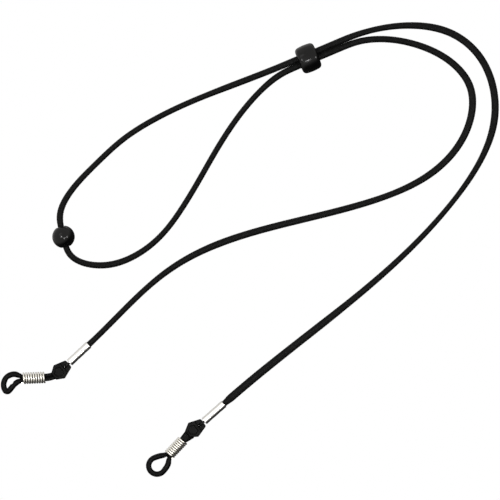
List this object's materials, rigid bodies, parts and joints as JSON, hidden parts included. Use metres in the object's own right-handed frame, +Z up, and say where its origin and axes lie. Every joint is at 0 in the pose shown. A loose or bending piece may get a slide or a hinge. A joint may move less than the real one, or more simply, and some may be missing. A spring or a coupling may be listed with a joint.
{
  "type": "eyeglass retainer strap",
  "caption": "Round cord folded in half, gathered by a sliding barrel bead, with a ball bead at the fold and rubber loops that clamp on spectacle temples by sliding coils.",
  "frame": {"origin": "on the table plane, under the middle of the slider bead", "axes": "+Z up from the table the strap is laid on; +X along the slider bead's bore, away from the ball bead"},
  "size_m": [0.1913, 0.1132, 0.0094],
  "materials": {
    "cord_braid": "braided, soft sheen",
    "cord_core": "parallel fibres, dull",
    "bead_plastic": "glossy, moulded",
    "plated_metal": "nickel plated, rolled tube",
    "link_cord": "thin twisted cord",
    "soft_rubber": "satin silicone rubber",
    "coil_metal": "nickel plated wire"
  },
  "bodies": {
    "cord": {"braided_sheath": "cord_braid", "cord_core": "cord_core", "ferrule_left": "plated_metal", "ferrule_right": "plated_metal", "link_loop_left": "link_cord", "link_loop_right": "link_cord"},
    "slider": {"slider_bead": "bead_plastic"},
    "stop": {"stop_bead": "bead_plastic"},
    "left_end": {"rubber_end_left": "soft_rubber"},
    "right_end": {"rubber_end_right": "soft_rubber"},
    "left_coil": {"coil_left": "coil_metal"},
    "right_coil": {"coil_right": "coil_metal"}
  },
  "joints": [
    {"name": "slider_slide", "type": "slide", "parent": "cord", "child": "slider", "axis": [1, 0, 0], "range_m": [-0.0035, 0.009]},
    {"name": "stop_bead_spin", "type": "hinge", "parent": "cord", "child": "stop", "pos_m": [-0.098, -0.0228, 0.00375], "axis": [-0.1392, -0.9903, 0], "continuous": true},
    {"name": "left_end_swing", "type": "hinge", "parent": "cord", "child": "left_end", "pos_m": [-0.11436, -0.06273, 0.00195], "axis": [0, 0, 1], "range_deg": [-60, 60]},
    {"name": "right_end_swing", "type": "hinge", "parent": "cord", "child": "right_end", "pos_m": [-0.08076, -0.09815, 0.00195], "axis": [0, 0, 1], "range_deg": [-60, 60]},
    {"name": "left_coil_slide", "type": "slide", "parent": "left_end", "child": "left_coil", "axis": [-0.9354, 0.3535, 0], "range_m": [-0.0015, 0.003], "deforming": ["rubber_end_left"]},
    {"name": "right_coil_slide", "type": "slide", "parent": "right_end", "child": "right_coil", "axis": [-0.9184, -0.3955, 0], "range_m": [-0.0015, 0.0045], "deforming": ["rubber_end_right"]}
  ]
}
